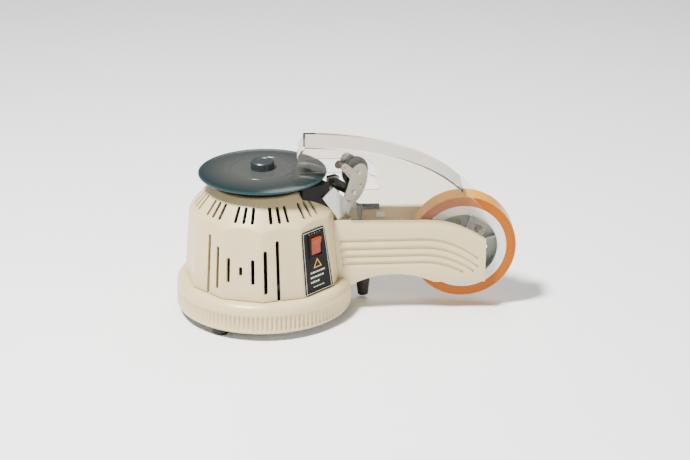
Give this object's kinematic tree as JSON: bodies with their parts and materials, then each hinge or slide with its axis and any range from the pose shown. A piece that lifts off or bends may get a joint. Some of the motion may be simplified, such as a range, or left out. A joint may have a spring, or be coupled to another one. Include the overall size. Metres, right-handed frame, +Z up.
{
  "type": "electric tape dispenser",
  "caption": "Electric tape dispenser: round motor base with a turntable disc, side arm with a tape reel, hinged clear safety cover over a roller feed and cutter.",
  "frame": {"origin": "on the ground, in the middle of the plan's bounding box", "axes": "+Z up, +X from the turntable's axis towards the reel, -Y is the side with the switch"},
  "size_m": [0.3218, 0.167, 0.167],
  "materials": {
    "cream_plastic": "satin moulded",
    "zinc_steel": "zinc plated",
    "bright_steel": "turned",
    "black_rubber": "matte",
    "panel_black": "printed film",
    "black_plastic": "satin moulded",
    "rocker_red": "translucent glossy",
    "motor_steel": "painted",
    "white_plastic": "moulded",
    "brass": "turned",
    "smoked_plastic": "smoked translucent",
    "slate_plastic": "moulded",
    "transformer_iron": "varnished",
    "board_green": "lacquered",
    "hub_plastic": "moulded",
    "tape": "wound film",
    "clear_plastic": "clear moulded",
    "sheet_steel": "satin sheet",
    "dark_steel": "blackened",
    "grey_plastic": "moulded"
  },
  "bodies": {
    "housing": {"base_ring": "cream_plastic", "body_shell": "cream_plastic", "near_arm_wall": "cream_plastic", "far_arm_wall": "cream_plastic", "arm_frame": "cream_plastic", "base_plate": "zinc_steel", "plate_pillars": "zinc_steel", "gear_plate": "zinc_steel", "foot_screws": "bright_steel", "arm_screws": "bright_steel", "rubber_feet": "black_rubber", "support_foot": "black_rubber", "switch_panel": "panel_black", "switch_frame": "black_plastic", "power_inlet": "black_plastic", "bearing_housing": "black_plastic", "far_bearing": "black_plastic", "guide_bar": "black_plastic", "gear_motor": "motor_steel", "cutter_solenoid": "motor_steel", "board_posts": "white_plastic", "wire_clip": "white_plastic", "reel_axle": "bright_steel", "cover_pins": "bright_steel", "wheel_shaft": "bright_steel", "lower_bush": "brass", "upper_bush": "brass", "lever_bush": "brass", "transformer": "transformer_iron", "circuit_board": "board_green", "feed_frame": "sheet_steel", "scale_plate": "sheet_steel"},
    "turntable": {"spindle": "bright_steel", "spindle_gear": "white_plastic", "turntable_disc": "smoked_plastic", "disc_knob": "slate_plastic"},
    "pinion": {"motor_pinion": "white_plastic"},
    "rocker": {"power_rocker": "rocker_red"},
    "reel": {"reel_hub": "hub_plastic", "tape_core": "hub_plastic", "tape_roll": "tape", "hub_cap": "hub_plastic"},
    "cover": {"safety_cover": "clear_plastic"},
    "wheel": {"feed_wheel": "dark_steel"},
    "roller": {"feed_roller": "black_rubber", "roller_shaft": "bright_steel"},
    "lever": {"tension_lever": "black_plastic"},
    "lever_roller": {"tension_roller": "grey_plastic"},
    "cutter": {"blade_carrier": "sheet_steel", "cutter_blade": "bright_steel"}
  },
  "joints": [
    {"name": "turntable_spin", "type": "hinge", "parent": "housing", "child": "turntable", "pos_m": [-0.0774, 0, 0.12], "axis": [0, 0, 1], "continuous": true},
    {"name": "pinion_spin", "type": "hinge", "parent": "housing", "child": "pinion", "pos_m": [-0.1174, 0, 0.11], "axis": [0, 0, 1], "continuous": true},
    {"name": "power_switch", "type": "hinge", "parent": "housing", "child": "rocker", "pos_m": [-0.03149, -0.04732, 0.08175], "axis": [0.7071, 0.7071, 0], "range_deg": [-16, 0]},
    {"name": "reel_spin", "type": "hinge", "parent": "housing", "child": "reel", "pos_m": [0.1106, 0, 0.063], "axis": [0, 1, 0], "continuous": true},
    {"name": "cover_hinge", "type": "hinge", "parent": "housing", "child": "cover", "pos_m": [0.1246, 0, 0.068], "axis": [0, 1, 0], "range_deg": [0, 75]},
    {"name": "wheel_spin", "type": "hinge", "parent": "housing", "child": "wheel", "pos_m": [0.00883, 0.00449, 0.1345], "axis": [0.5592, -0.829, 0], "continuous": true},
    {"name": "roller_spin", "type": "hinge", "parent": "housing", "child": "roller", "pos_m": [-0.00145, 0.00901, 0.11626], "axis": [0.5592, -0.829, 0], "continuous": true},
    {"name": "lever_swing", "type": "hinge", "parent": "housing", "child": "lever", "pos_m": [-0.00639, -0.00156, 0.143], "axis": [0.5592, -0.829, 0], "range_deg": [-6, 6], "stiffness_Nm_per_rad": 0.05},
    {"name": "lever_roller_spin", "type": "hinge", "parent": "lever", "child": "lever_roller", "pos_m": [0.00242, 0.01042, 0.143], "axis": [0.5592, -0.829, 0], "continuous": true},
    {"name": "blade_slide", "type": "slide", "parent": "housing", "child": "cutter", "axis": [0, 0, 1], "range_m": [0, 0.005], "stiffness_N_per_m": 40}
  ],
  "couplings": [
    {"joint": "pinion_spin", "follows": "turntable_spin", "ratio": -3},
    {"joint": "roller_spin", "follows": "wheel_spin", "ratio": -2.8571}
  ]
}
